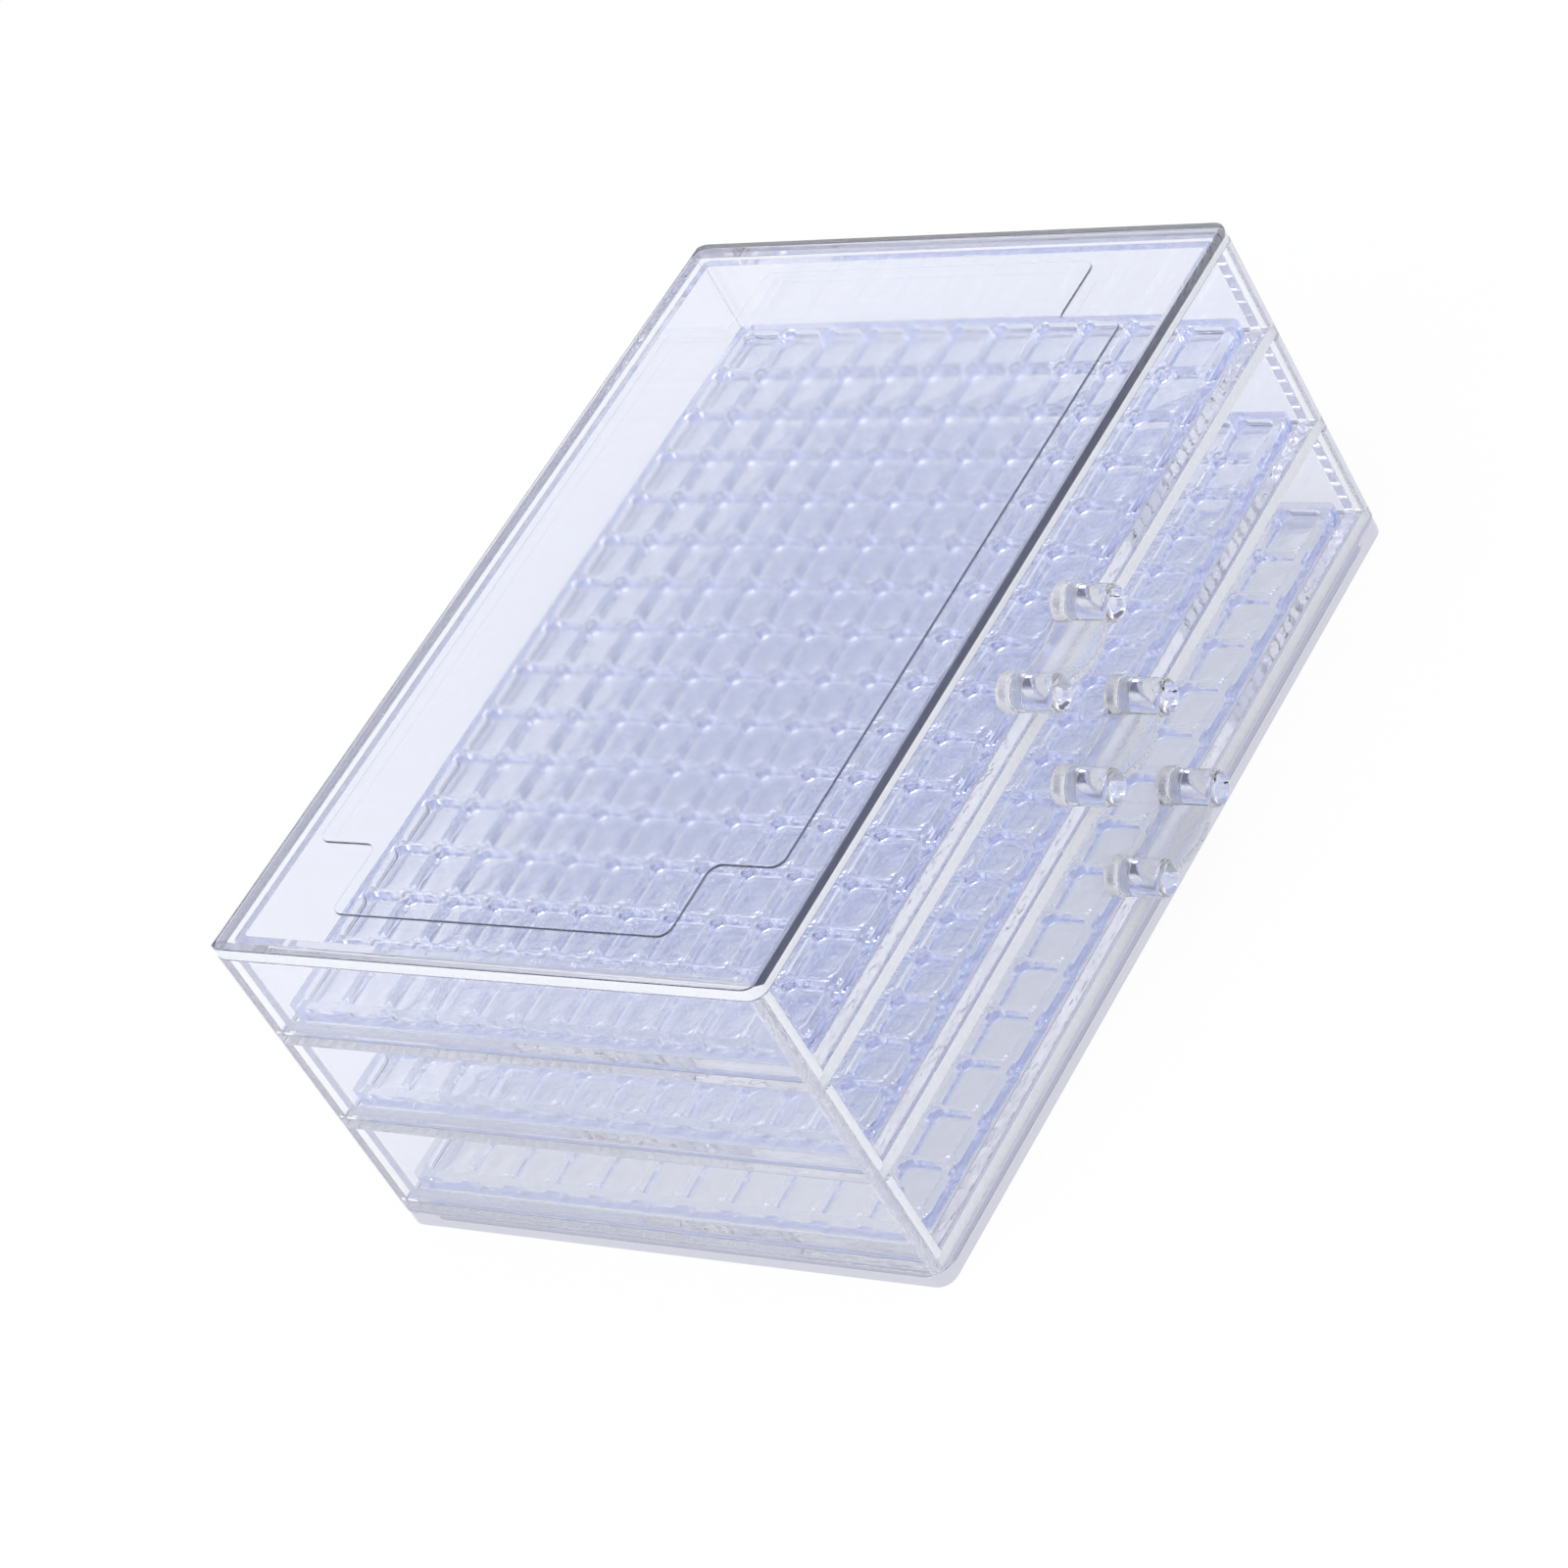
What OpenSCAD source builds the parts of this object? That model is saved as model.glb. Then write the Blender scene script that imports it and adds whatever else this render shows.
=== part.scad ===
// Clear bead storage box: a case of bonded clear panels with three shelf plates,
// three drawers with moulded pull handles, and a loose grid tray for beads in each drawer.
// Millimetres. +Z is up, the drawers open towards -Y, and the origin is the middle of
// the whole box's footprint, handles included, on the surface it stands on.

/* [Case] */
// Width of the case over its side panels
case_w = 235; // [180:1:300]
// Depth of the case, front plane to back face
case_d = 158.5; // [120:0.5:220]
// Plan radius of the four upright corners
corner_r = 4; // [2:0.5:6]
// Thickness of each side panel
side_t = 3.6; // [3:0.1:5]
// Thickness of the back panel
back_t = 3.2; // [2.6:0.1:5]
// Thickness of the top panel, without its stacking step
top_t = 3.6; // [2.6:0.1:5]
// Height of the plinth skirt under the floor plate
plinth_h = 4.6; // [3:0.1:8]
// Width of the plinth skirt, seen from below
plinth_t = 6.5; // [5:0.5:12]

/* [Shelf plates] */
// Thickness of each shelf plate and of the floor plate
shelf_t = 3.3; // [2.5:0.1:5]
// How far a plate is let into the side and back panels
housing_d = 1.7; // [0.8:0.1:2.2]
// How far a plate's front edge stands behind the front plane
shelf_recess = 0.8; // [0.7:0.1:1.6]
// Glue line around a housed or bonded edge
bond_gap = 0.1; // [0.05:0.05:0.2]

/* [Stacking step] */
// Height of the raised step on the top panel
step_h = 0.6; // [0.3:0.1:1.5]
// Distance from the case's outline to the step
step_margin = 12.3; // [8:0.1:20]
// Corner notch of the step along the width
step_notch_x = 20.8; // [10:0.1:30]
// Corner notch of the step along the depth
step_notch_y = 18.3; // [10:0.1:30]
// Radius at every corner of the step
step_r = 3; // [1:0.5:5]

/* [Drawers] */
// Clear height of each drawer bay
bay_h = 25.8; // [20:0.1:40]
// How far a drawer's front stands behind the case's front plane
front_recess = 1.7; // [1:0.1:3]
// Thickness of a drawer's front
front_t = 3; // [2.4:0.1:4]
// Thickness of a drawer's side and back walls
drawer_wall_t = 2.2; // [1.6:0.1:3]
// Thickness of a drawer's floor
drawer_floor_t = 1.8; // [1.2:0.1:3]
// Plan radius of a drawer's outer corners
drawer_r = 1.5; // [0.5:0.1:2]
// Running gap between a drawer and each side panel
drawer_side_gap = 0.4; // [0.3:0.05:0.8]
// Running gap under a drawer
drawer_run_gap = 0.2; // [0.1:0.05:0.4]
// Gap over a drawer's top edge
drawer_top_gap = 0.5; // [0.3:0.1:1]
// Gap behind a closed drawer
drawer_back_gap = 1.2; // [0.5:0.1:3]

/* [Bead trays] */
// Height of a tray
tray_h = 4.4; // [3.5:0.1:5]
// Thickness of a tray's floor under its pockets
tray_floor_t = 1; // [0.8:0.1:1.5]
// Width of the rim round the pockets
tray_rim = 2.2; // [1.5:0.1:4]
// Thickness of the ribs between pockets
rib_t = 1; // [0.8:0.1:1.6]
// Radius of a pocket's upright corners
pocket_r = 2.6; // [1:0.1:4]
// Plan radius of a tray's outer corners
tray_r = 1.5; // [0.5:0.1:3]
// Loose gap between a tray and the drawer walls
tray_gap = 1; // [0.5:0.1:2]
// Gap between a tray and the drawer floor
tray_seat_gap = 0.1; // [0.05:0.05:0.3]
// Pockets across the upper and lower trays
coarse_cols = 15; // [8:1:16]
// Pockets along the upper and lower trays
coarse_rows = 11; // [6:1:12]
// Pockets across the middle tray
fine_cols = 18; // [8:1:19]
// Pockets along the middle tray
fine_rows = 12; // [6:1:13]

/* [Pull handles] */
// Distance between the two posts of a handle
post_span = 27.5; // [22:0.5:34]
// Diameter of a post
post_d = 8.8; // [7:0.1:10]
// How far a post stands out of the drawer front
post_out = 15; // [12:0.5:18]
// Rounding of a post's free end
post_end_r = 1.8; // [0.5:0.1:3]
// Diameter of the collar at a post's root
collar_d = 9.6; // [9:0.1:11]
// Length of the collar along the post
collar_t = 3; // [1:0.1:4]
// Diameter of the peg that fixes a post in the drawer front
peg_d = 5; // [3:0.1:6]
// Clearance round a peg in its hole
peg_gap = 0.1; // [0.05:0.05:0.2]
// Height of the posts above the drawer's underside
handle_up = 10.2; // [8:0.1:13]
// Thickness of the curved tongue between the posts
tongue_t = 1.6; // [1.2:0.1:2.4]
// How far the tongue dips between the posts
tongue_sag = 2.6; // [1.5:0.1:3]
// How far the tongue stands out beside the posts
tongue_side_out = 11.5; // [8:0.5:12]
// How far the tongue stands out in its middle
tongue_mid_out = 15; // [13:0.5:18]

/* [Hidden] */
$fn = 64;

// Tint of the clear mouldings, of the pale cut plates and of the handles
clear_tint = [0.80, 0.82, 0.93, 0.45];
plate_tint = [0.90, 0.92, 0.93, 0.60];
handle_tint = [0.90, 0.91, 0.96, 0.55];

// A cut runs past a face by this much, so that no skin is left
over = 1;

// The bays count upwards: the lower drawer is in bay 0
LOWER = 0;
MIDDLE = 1;
UPPER = 2;
bay_pitch = shelf_t + bay_h;
panels_top = plinth_h + 3 * bay_pitch;
function plate_z(bay) = plinth_h + bay * bay_pitch;
function bay_z(bay) = plate_z(bay) + shelf_t;

// The origin halves the depth over the handles
handle_reach = max(post_out, tongue_mid_out) + bond_gap - front_recess;
front_y = (handle_reach - case_d) / 2;
back_y = front_y + case_d;

// Inside of the case
bay_w = case_w - 2 * side_t;
bay_back_y = back_y - back_t;

// Outside of a drawer
drawer_w = bay_w - 2 * drawer_side_gap;
drawer_h = bay_h - drawer_run_gap - drawer_top_gap;
drawer_front_y = front_y + front_recess;
drawer_back_y = bay_back_y - drawer_back_gap;
function drawer_z(bay) = bay_z(bay) + drawer_run_gap;

// Inside of a drawer, and the tray that lies in it
well_front_y = drawer_front_y + front_t;
well_back_y = drawer_back_y - drawer_wall_t;
tray_w = drawer_w - 2 * drawer_wall_t - 2 * tray_gap;
tray_front_y = well_front_y + tray_gap;
tray_back_y = well_back_y - tray_gap;
function tray_z(bay) = drawer_z(bay) + drawer_floor_t + tray_seat_gap;

// Radius of the circle through the ends and the middle of an arc
function arc_r(half_chord, rise) = (half_chord * half_chord + rise * rise) / (2 * rise);

// Flat outline with four round corners, centred across X
module round_rect(w, y0, y1, r) {
    translate([-w / 2 + r, y0]) square([w - 2 * r, y1 - y0]);
    translate([-w / 2, y0 + r]) square([w, y1 - y0 - 2 * r]);
    for (x = [-w / 2 + r, w / 2 - r], y = [y0 + r, y1 - r])
        translate([x, y]) circle(r);
}

module case_outline() {
    round_rect(case_w, front_y, back_y, corner_r);
}

// Stacking step: a cross-shaped outline with round outer and inner corners
module step_outline() {
    step_w = case_w - 2 * step_margin;
    y0 = front_y + step_margin;
    y1 = back_y - step_margin;
    round_rect(step_w - 2 * step_notch_x, y0, y1, step_r);
    round_rect(step_w, y0 + step_notch_y, y1 - step_notch_y, step_r);
    for (sx = [-1, 1], sy = [-1, 1])
        translate([sx * (step_w / 2 - step_notch_x), sy < 0 ? y0 + step_notch_y : y1 - step_notch_y])
            notch_fillet(sx, sy);
}

// Fillet that fills the inner corner of a notch
module notch_fillet(sx, sy) {
    mirror([sx < 0 ? 1 : 0, 0])
        mirror([0, sy < 0 ? 1 : 0])
            difference() {
                translate([-step_r / 2, -step_r / 2]) square(step_r * 1.5);
                translate([step_r, step_r]) circle(step_r);
            }
}

module top_panel() {
    color(clear_tint) {
        translate([0, 0, panels_top]) linear_extrude(top_t) case_outline();
        translate([0, 0, panels_top + top_t / 2]) linear_extrude(top_t / 2 + step_h) step_outline();
    }
}

// Room that the three plates take in the panels, with their glue line
module plate_grooves() {
    for (bay = [LOWER, MIDDLE, UPPER])
        translate([0, 0, plate_z(bay) - bond_gap])
            linear_extrude(shelf_t + 2 * bond_gap)
                plate_outline(bond_gap, over);
}

// Outline of a shelf plate, grown by a gap and lengthened towards the front
module plate_outline(gap, front_over) {
    half_w = bay_w / 2 + housing_d + gap;
    y0 = front_y + shelf_recess - front_over;
    y1 = bay_back_y + housing_d + gap;
    translate([-half_w, y0]) square([2 * half_w, y1 - y0]);
}

module side_panel(side) {
    inner_x = bay_w / 2;
    wall_z = plinth_h + bond_gap;
    color(clear_tint)
        difference() {
            translate([0, 0, wall_z])
                linear_extrude(panels_top - bond_gap - wall_z)
                    intersection() {
                        case_outline();
                        translate([side < 0 ? -case_w / 2 : inner_x, front_y]) square([side_t, case_d]);
                    }
            plate_grooves();
        }
}

module left_side_panel() {
    side_panel(-1);
}

module right_side_panel() {
    side_panel(1);
}

module back_panel() {
    half_w = bay_w / 2 - bond_gap;
    wall_z = plinth_h + bond_gap;
    color(clear_tint)
        difference() {
            translate([-half_w, bay_back_y, wall_z])
                cube([2 * half_w, back_t, panels_top - bond_gap - wall_z]);
            plate_grooves();
        }
}

module plate(bay) {
    color(plate_tint)
        translate([0, 0, plate_z(bay) + (bay == LOWER ? bond_gap : 0)])
            linear_extrude(shelf_t - (bay == LOWER ? bond_gap : 0))
                plate_outline(0, 0);
}

module upper_shelf() {
    plate(UPPER);
}

module lower_shelf() {
    plate(MIDDLE);
}

module floor_plate() {
    plate(LOWER);
}

// Skirt that carries the panels and the floor plate, open below
module plinth() {
    color(clear_tint)
        linear_extrude(plinth_h)
            difference() {
                case_outline();
                round_rect(case_w - 2 * plinth_t, front_y + plinth_t, back_y - plinth_t, corner_r / 2);
            }
}

// Drawer: an open tub with a thicker front and two holes for the handle's pegs
module drawer(bay) {
    well_w = drawer_w - 2 * drawer_wall_t;
    color(clear_tint)
        translate([0, 0, drawer_z(bay)])
            difference() {
                linear_extrude(drawer_h)
                    round_rect(drawer_w, drawer_front_y, drawer_back_y, drawer_r);
                translate([0, 0, drawer_floor_t])
                    linear_extrude(drawer_h)
                        round_rect(well_w, well_front_y, well_back_y, drawer_r / 2);
                for (side = [-1, 1])
                    translate([side * post_span / 2, well_front_y + over, handle_up])
                        rotate([90, 0, 0])
                            cylinder(d = peg_d + 2 * peg_gap, h = front_t + 2 * over);
            }
}

module upper_drawer() {
    drawer(UPPER);
}

module middle_drawer() {
    drawer(MIDDLE);
}

module lower_drawer() {
    drawer(LOWER);
}

// Turned profile of a post: peg, collar, shaft and rounded end
module post_profile() {
    shaft_r = post_d / 2;
    translate([0, -front_t]) square([peg_d / 2, front_t + collar_t / 2]);
    square([collar_d / 2, collar_t]);
    square([shaft_r, post_out - post_end_r]);
    square([shaft_r - post_end_r, post_out]);
    intersection() {
        translate([shaft_r - post_end_r, post_out - post_end_r]) circle(post_end_r);
        square([shaft_r, post_out]);
    }
}

// Curved tongue: a thin arch on its back, cut to a bowed front edge
module tongue() {
    half = post_span / 2;
    dip_r = arc_r(half, tongue_sag);
    bow_r = arc_r(half, tongue_mid_out - tongue_side_out);
    intersection() {
        rotate([90, 0, 0])
            linear_extrude(tongue_mid_out)
                intersection() {
                    translate([0, dip_r - tongue_sag])
                        difference() {
                            circle(dip_r + tongue_t / 2, $fn = 180);
                            circle(dip_r - tongue_t / 2, $fn = 180);
                        }
                    translate([-half, -tongue_sag - tongue_t]) square([post_span, tongue_sag + 2 * tongue_t]);
                }
        translate([0, bow_r - tongue_mid_out, -tongue_sag - 2 * tongue_t])
            cylinder(r = bow_r, h = tongue_sag + 4 * tongue_t, $fn = 180);
    }
}

// Pull handle: two posts and the tongue, moulded in one piece
module handle(bay) {
    color(handle_tint)
        translate([0, drawer_front_y - bond_gap, drawer_z(bay) + handle_up]) {
            for (side = [-1, 1])
                translate([side * post_span / 2, 0, 0])
                    rotate([90, 0, 0])
                        rotate_extrude() post_profile();
            tongue();
        }
}

module upper_handle() {
    handle(UPPER);
}

module middle_handle() {
    handle(MIDDLE);
}

module lower_handle() {
    handle(LOWER);
}

// Bead tray: a shallow moulding with a grid of round-cornered pockets
module bead_tray(bay, cols, rows) {
    pitch_x = (tray_w - 2 * tray_rim + rib_t) / cols;
    pitch_y = (tray_back_y - tray_front_y - 2 * tray_rim + rib_t) / rows;
    first_x = -tray_w / 2 + tray_rim - rib_t / 2;
    first_y = tray_front_y + tray_rim - rib_t / 2;
    color(clear_tint)
        translate([0, 0, tray_z(bay)]) {
            linear_extrude(tray_floor_t)
                round_rect(tray_w, tray_front_y, tray_back_y, tray_r);
            linear_extrude(tray_h)
                difference() {
                    round_rect(tray_w, tray_front_y, tray_back_y, tray_r);
                    for (col = [0 : cols - 1], row = [0 : rows - 1])
                        translate([first_x + (col + 0.5) * pitch_x, first_y + (row + 0.5) * pitch_y])
                            round_rect(pitch_x - rib_t, (rib_t - pitch_y) / 2, (pitch_y - rib_t) / 2, pocket_r);
                }
        }
}

module upper_bead_tray() {
    bead_tray(UPPER, coarse_cols, coarse_rows);
}

module middle_bead_tray() {
    bead_tray(MIDDLE, fine_cols, fine_rows);
}

module lower_bead_tray() {
    bead_tray(LOWER, coarse_cols, coarse_rows);
}

top_panel();
left_side_panel();
right_side_panel();
back_panel();
upper_shelf();
lower_shelf();
floor_plate();
plinth();
upper_drawer();
middle_drawer();
lower_drawer();
upper_handle();
middle_handle();
lower_handle();
upper_bead_tray();
middle_bead_tray();
lower_bead_tray();
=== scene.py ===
# %% [markdown]
# A clear bead storage box: bonded clear panels, three shelf plates, three drawers with moulded
# pull handles, and a loose grid tray in each drawer. The measured model is loaded first and is
# never moved. It gives every piece its size and place, so nothing has to be fitted by eye.
# Clear plastic shows its edges more than its faces. So each plain solid is rebuilt here with the
# small radii, grooves and dished floors that the real one has, because those bend the light.

# %% Load the measured model
import math

import bmesh
import bpy
from mathutils import Matrix, Vector


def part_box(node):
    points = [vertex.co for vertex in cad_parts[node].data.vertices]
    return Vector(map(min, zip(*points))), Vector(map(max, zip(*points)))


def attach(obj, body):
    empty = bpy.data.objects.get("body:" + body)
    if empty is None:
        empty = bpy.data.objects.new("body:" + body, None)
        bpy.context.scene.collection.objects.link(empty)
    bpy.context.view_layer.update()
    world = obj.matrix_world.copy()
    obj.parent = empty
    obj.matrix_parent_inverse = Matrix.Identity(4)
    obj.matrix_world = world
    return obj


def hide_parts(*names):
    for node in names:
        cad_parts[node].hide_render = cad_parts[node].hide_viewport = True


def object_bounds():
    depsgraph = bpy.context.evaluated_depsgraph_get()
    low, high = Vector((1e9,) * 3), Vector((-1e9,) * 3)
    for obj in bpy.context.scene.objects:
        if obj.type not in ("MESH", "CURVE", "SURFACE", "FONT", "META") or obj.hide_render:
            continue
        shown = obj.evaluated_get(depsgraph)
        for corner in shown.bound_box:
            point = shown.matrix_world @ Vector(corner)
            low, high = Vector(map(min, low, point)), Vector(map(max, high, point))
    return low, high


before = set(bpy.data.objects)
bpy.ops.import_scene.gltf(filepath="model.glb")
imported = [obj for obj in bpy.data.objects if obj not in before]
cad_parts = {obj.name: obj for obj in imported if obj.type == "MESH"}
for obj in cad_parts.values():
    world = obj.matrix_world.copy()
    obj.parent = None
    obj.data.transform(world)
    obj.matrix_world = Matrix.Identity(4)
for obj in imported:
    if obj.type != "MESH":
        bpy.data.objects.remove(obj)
cad_low, cad_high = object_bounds()
MM = 0.001
NEAR = 0.1 * MM
BAYS = ("lower", "middle", "upper")
print("measured box, mm:", [round(v / MM, 1) for v in cad_high - cad_low])

# %% [markdown]
# The camera stands in front of the left corner and looks down at the box. A long lens keeps the
# edges almost parallel. The picture was turned a little as well, so the camera's up direction
# leans to the right. A matrix built from the viewing direction and the up direction holds that
# lean without any angles.

# %% Set the camera
CAMERA_PLACE = Vector((-0.6148, -0.7192, 0.7085))
CAMERA_FORWARD = Vector((0.5203, 0.6310, -0.5754)).normalized()
CAMERA_UP = Vector((0.7221, 0.0347, 0.6910))
PHOTO_SIDE = 1600
FOCAL_PIXELS = 5134.8
SENSOR = 36.0

camera = bpy.data.objects.new("camera", bpy.data.cameras.new("camera"))
bpy.context.scene.collection.objects.link(camera)
camera_right = CAMERA_FORWARD.cross(CAMERA_UP).normalized()
camera_up = camera_right.cross(CAMERA_FORWARD)
camera.matrix_world = Matrix.Translation(CAMERA_PLACE) @ Matrix(
    (camera_right, camera_up, -CAMERA_FORWARD)
).transposed().to_4x4()
camera.data.sensor_width = SENSOR
camera.data.lens = FOCAL_PIXELS / PHOTO_SIDE * SENSOR
bpy.context.scene.camera = camera
bpy.context.scene.view_settings.view_transform = "Standard"
print("lens, mm:", round(camera.data.lens, 2))

# %% [markdown]
# Clear plastic is only as good as what is behind and around it. The floor is white to the camera,
# and more than half white to rays that have passed through the plastic. The rest of its
# brightness comes from the lamps, so it keeps the box's shadow. Light caught inside an edge
# crosses many faces, so many bounces are allowed.

# %% Lay the floor
FLOOR_SIDE = 6.0
FLOOR_WHITE = (0.86, 0.865, 0.91, 1)
WHITE_SHARES = {"Is Camera Ray": 0.95, "Is Glossy Ray": 0.68, "Is Transmission Ray": 0.68}
CLEAR_BOUNCES = 96


def new_material(name):
    """An empty node material, with its node tree and its output node."""
    material = bpy.data.materials.new(name)
    material.use_nodes = True
    tree = material.node_tree
    tree.nodes.clear()
    return material, tree, tree.nodes.new("ShaderNodeOutputMaterial")


def link(tree, source, target):
    """Links an output to an input, or sets the input to a number."""
    if isinstance(source, (int, float)):
        target.default_value = source
    else:
        tree.links.new(source, target)


def math_node(tree, operation, first, second):
    """A Math node on two outputs or numbers."""
    node = tree.nodes.new("ShaderNodeMath")
    node.operation = operation
    for value, socket in zip((first, second), node.inputs):
        link(tree, value, socket)
    return node.outputs[0]


def mix_shaders(tree, share, first, second, output):
    """Goes from a first shader to a second by a share, and on to the output."""
    mix = tree.nodes.new("ShaderNodeMixShader")
    for value, socket in zip((share, first.outputs[0], second.outputs[0]), mix.inputs):
        link(tree, value, socket)
    link(tree, mix.outputs[0], output.inputs["Surface"])


def white_share(tree):
    """How much of the floor is plain white to seen, mirrored and passed-on rays."""
    path = tree.nodes.new("ShaderNodeLightPath")
    most = 0.0
    for name, share in WHITE_SHARES.items():
        part = math_node(tree, "MULTIPLY", path.outputs[name], share)
        most = math_node(tree, "MAXIMUM", most, part)
    return most


floor_material, tree, output = new_material("white_floor")
matt = tree.nodes.new("ShaderNodeBsdfDiffuse")
matt.inputs["Color"].default_value = FLOOR_WHITE
glow = tree.nodes.new("ShaderNodeEmission")
mix_shaders(tree, white_share(tree), matt, glow, output)

bpy.ops.object.select_all(action="DESELECT")
bpy.ops.mesh.primitive_plane_add(size=FLOOR_SIDE)
floor = bpy.context.object
floor.name = "floor"
floor.data.materials.append(floor_material)

cycles = bpy.context.scene.cycles
cycles.max_bounces = CLEAR_BOUNCES
cycles.transmission_bounces = CLEAR_BOUNCES
cycles.glossy_bounces = CLEAR_BOUNCES
print("floor side, m:", FLOOR_SIDE)

# %% [markdown]
# The room is a pale tent with a white ceiling. Behind the box, on the right, hangs a dark flag
# with a bright strip across it, as in a glass studio. The top mirrors the strip, while rims and
# ribs catch the flag and show as fine navy lines. An image of a room would do as well, but two
# ramps read by height, and a mask, need no file. Three softboxes add to it: a key on the left for
# the matt edges, and two small ones for sparkle in the pockets.

# %% Light the room
TENT_STOPS = (
    (0.00, (0.95, 0.96, 0.98, 1)),
    (0.50, (0.74, 0.76, 0.87, 1)),
    (0.86, (0.66, 0.68, 0.81, 1)),
    (0.94, (2.40, 2.40, 2.40, 1)),
)
FLAG_STOPS = (
    (0.00, (0.16, 0.18, 0.30, 1)),
    (0.38, (0.16, 0.18, 0.30, 1)),
    (0.46, (0.78, 0.80, 0.90, 1)),
    (0.57, (1.04, 1.05, 1.08, 1)),
    (0.64, (1.10, 1.10, 1.12, 1)),
    (0.70, (0.03, 0.04, 0.11, 1)),
    (1.00, (0.03, 0.04, 0.11, 1)),
)
FLAG_DIRECTION = Vector((0.52, 0.635, 0.571))
FLAG_FADE = (0.76, 0.86)
BACKGROUND_WHITE = (1, 1, 1, 1)
BOX_MIDDLE = Vector((0, 0, 0.05))
SOFTBOXES = {  # place and side in metres, power in watts
    "back_softbox": ((-0.15, 0.85, 1.05), 0.25, 1),
    "corner_softbox": ((-0.50, -0.38, 0.95), 0.32, 2),
    "key_softbox": ((-1.0, 0.1, 1.0), 0.5, 3.5),
}


def ramp(tree, source, stops):
    """A colour ramp with these stops, read by source."""
    node = tree.nodes.new("ShaderNodeValToRGB")
    while len(node.color_ramp.elements) < len(stops):
        node.color_ramp.elements.new(0.5)
    for element, (place, colour) in zip(node.color_ramp.elements, stops):
        element.position = place
        element.color = colour
    link(tree, source, node.inputs["Fac"])
    return node.outputs["Color"]


def map_range(tree, source, old=(0, 1), new=(0, 1), kind="LINEAR"):
    """Moves a value from an old range to a new one. A range holds numbers or outputs."""
    node = tree.nodes.new("ShaderNodeMapRange")
    node.interpolation_type = kind
    names = ("Value", "From Min", "From Max", "To Min", "To Max")
    for value, name in zip((source, *old, *new), names):
        link(tree, value, node.inputs[name])
    return node.outputs["Result"]


world = bpy.data.worlds.new("studio")
bpy.context.scene.world = world
world.use_nodes = True
tree = world.node_tree
tree.nodes.clear()
output = tree.nodes.new("ShaderNodeOutputWorld")
direction = tree.nodes.new("ShaderNodeTexCoord").outputs["Generated"]
parts = tree.nodes.new("ShaderNodeSeparateXYZ")
link(tree, direction, parts.inputs[0])
height = parts.outputs["Z"]
towards = tree.nodes.new("ShaderNodeVectorMath")
towards.operation = "DOT_PRODUCT"
towards.inputs[1].default_value = FLAG_DIRECTION
link(tree, direction, towards.inputs[0])
sky = tree.nodes.new("ShaderNodeMix")
sky.data_type = "RGBA"
link(tree, map_range(tree, towards.outputs["Value"], FLAG_FADE), sky.inputs["Factor"])
link(tree, ramp(tree, height, TENT_STOPS), sky.inputs["A"])
link(tree, ramp(tree, height, FLAG_STOPS), sky.inputs["B"])
room = tree.nodes.new("ShaderNodeBackground")
link(tree, sky.outputs["Result"], room.inputs["Color"])
white = tree.nodes.new("ShaderNodeBackground")
white.inputs["Color"].default_value = BACKGROUND_WHITE
seen = tree.nodes.new("ShaderNodeLightPath").outputs["Is Camera Ray"]
mix_shaders(tree, seen, room, white, output)


def softbox(name, place, side, power):
    """A square lamp that faces the box."""
    lamp = bpy.data.lights.new(name, "AREA")
    lamp.shape = "SQUARE"
    lamp.size = side
    lamp.energy = power
    thing = bpy.data.objects.new(name, lamp)
    bpy.context.scene.collection.objects.link(thing)
    thing.location = place
    thing.rotation_euler = (BOX_MIDDLE - Vector(place)).to_track_quat("-Z", "Y").to_euler()


for name, settings in SOFTBOXES.items():
    softbox(name, *settings)

# %% [markdown]
# Every piece starts as a primitive at its real size and is then shaped in edit mode, as one would
# by hand. An operator works on what is selected, so a helper picks edges or faces by their place
# and direction. Holes and grooves are cut with the Boolean modifier, and the Bevel modifier takes
# off the sharp edges.

# %% Modelling helpers
SHARP_ANGLE = math.radians(40)
BROAD_WEIGHT = 100
UPRIGHT_COSINE = 0.99
LEVEL_COSINE = 0.5
QUARTER_TURN = math.pi / 2


def primitive(add, scale=(1, 1, 1), **settings):
    """A primitive with its turn, stretch and place in its mesh."""
    bpy.ops.object.select_all(action="DESELECT")
    add(**settings)
    shape = bpy.context.object
    shape.scale = scale
    bpy.ops.object.transform_apply(location=True, rotation=True, scale=True)
    return shape


def block(name, low, high):
    """A cube stretched between two corners."""
    low, high = Vector(low), Vector(high)
    middle = (low + high) / 2
    piece = primitive(bpy.ops.mesh.primitive_cube_add, high - low, size=1, location=middle)
    piece.name = name
    return piece


def edit(piece):
    """Puts a piece alone in edit mode."""
    bpy.ops.object.select_all(action="DESELECT")
    bpy.context.view_layer.objects.active = piece
    piece.select_set(True)
    bpy.ops.object.mode_set(mode="EDIT")


def done():
    bpy.ops.object.mode_set(mode="OBJECT")


def pick_edges(wanted):
    """In edit mode, selects the edges whose middle and direction are wanted."""
    mesh = bmesh.from_edit_mesh(bpy.context.object.data)
    bpy.ops.mesh.select_all(action="DESELECT")
    bpy.ops.mesh.select_mode(type="EDGE")
    for e in mesh.edges:
        a, b = e.verts[0].co, e.verts[1].co
        e.select_set(wanted((a + b) / 2, (b - a).normalized()))
    bmesh.update_edit_mesh(bpy.context.object.data)


def pick_faces(wanted):
    """In edit mode, selects the faces whose middle and normal are wanted."""
    mesh = bmesh.from_edit_mesh(bpy.context.object.data)
    bpy.ops.mesh.select_all(action="DESELECT")
    bpy.ops.mesh.select_mode(type="FACE")
    for f in mesh.faces:
        f.select_set(wanted(f.calc_center_median(), f.normal))
    bmesh.update_edit_mesh(bpy.context.object.data)


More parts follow.
